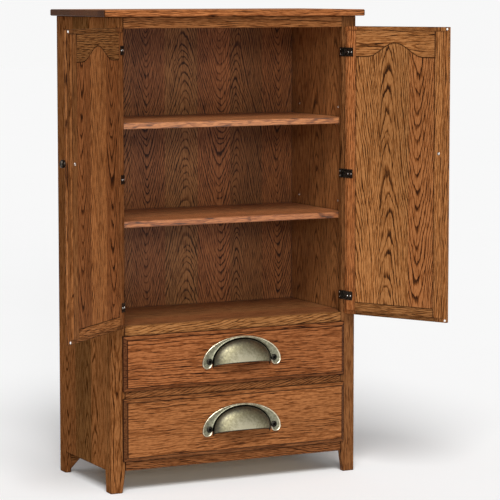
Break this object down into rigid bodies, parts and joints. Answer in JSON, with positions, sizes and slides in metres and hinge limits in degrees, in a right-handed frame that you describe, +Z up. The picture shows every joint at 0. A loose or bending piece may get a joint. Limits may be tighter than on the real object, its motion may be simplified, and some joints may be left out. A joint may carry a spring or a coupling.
{
  "type": "armoire",
  "caption": "Oak armoire with open shelved bays behind lipped arched-panel doors, lipped drawers with cup pulls below, on short tapered feet.",
  "frame": {"origin": "on the floor, at the centre of the box round the whole piece with its doors open as stored", "axes": "+X along the front to the right, +Y from the front to the back, +Z up"},
  "size_m": [1.2344, 0.7466, 1.45],
  "materials": {
    "oak": "satin lacquer over medium stained oak",
    "drawer_wood": "plain clear-sealed hardwood",
    "antique_brass": "antique brass, rubbed bright at the crown",
    "dark_bronze": "dark oil-rubbed bronze",
    "pin_steel": "plain steel"
  },
  "bodies": {
    "cabinet": {"back_foot_rail": "oak", "back_panel": "oak", "bottom_rail": "oak", "cabinet_floor": "oak", "divider_rail": "oak", "drawer_guide_lower": "drawer_wood", "drawer_guide_upper": "drawer_wood", "hinge_left_high_case": "dark_bronze", "hinge_left_low_case": "dark_bronze", "hinge_left_mid_case": "dark_bronze", "hinge_right_high_case": "dark_bronze", "hinge_right_low_case": "dark_bronze", "hinge_right_mid_case": "dark_bronze", "mid_rail": "oak", "pin_lower_left_front": "pin_steel", "pin_lower_left_rear": "pin_steel", "pin_lower_right_front": "pin_steel", "pin_lower_right_rear": "pin_steel", "pin_upper_left_front": "pin_steel", "pin_upper_left_rear": "pin_steel", "pin_upper_right_front": "pin_steel", "pin_upper_right_rear": "pin_steel", "shelf_lower": "oak", "shelf_upper": "oak", "side_panel_left": "oak", "side_panel_right": "oak", "stile_left": "oak", "stile_right": "oak", "top_rail": "oak", "top_slab": "oak"},
    "left_door": {"door_left_arched_rail": "oak", "door_left_bottom_rail": "oak", "door_left_free_stile": "oak", "door_left_hinge_stile": "oak", "door_left_knob": "dark_bronze", "door_left_panel": "oak", "hinge_left_high_door": "dark_bronze", "hinge_left_low_door": "dark_bronze", "hinge_left_mid_door": "dark_bronze"},
    "right_door": {"door_right_arched_rail": "oak", "door_right_bottom_rail": "oak", "door_right_free_stile": "oak", "door_right_hinge_stile": "oak", "door_right_knob": "dark_bronze", "door_right_panel": "oak", "hinge_right_high_door": "dark_bronze", "hinge_right_low_door": "dark_bronze", "hinge_right_mid_door": "dark_bronze"},
    "upper_drawer": {"cup_pull_upper": "antique_brass", "drawer_upper_back": "drawer_wood", "drawer_upper_bottom": "drawer_wood", "drawer_upper_front": "oak", "drawer_upper_side_left": "drawer_wood", "drawer_upper_side_right": "drawer_wood"},
    "lower_drawer": {"cup_pull_lower": "antique_brass", "drawer_lower_back": "drawer_wood", "drawer_lower_bottom": "drawer_wood", "drawer_lower_front": "oak", "drawer_lower_side_left": "drawer_wood", "drawer_lower_side_right": "drawer_wood"}
  },
  "joints": [
    {"name": "left_door_hinge", "type": "hinge", "parent": "cabinet", "child": "left_door", "pos_m": [-0.3306, -0.04121, 0.503], "axis": [0, 0, 1], "range_deg": [-12, 138]},
    {"name": "right_door_hinge", "type": "hinge", "parent": "cabinet", "child": "right_door", "pos_m": [0.4214, -0.04121, 0.503], "axis": [0, 0, 1], "range_deg": [-118, 32]},
    {"name": "upper_drawer_slide", "type": "slide", "parent": "cabinet", "child": "upper_drawer", "axis": [0, -1, 0], "range_m": [0, 0.3]},
    {"name": "lower_drawer_slide", "type": "slide", "parent": "cabinet", "child": "lower_drawer", "axis": [0, -1, 0], "range_m": [0, 0.3]}
  ]
}
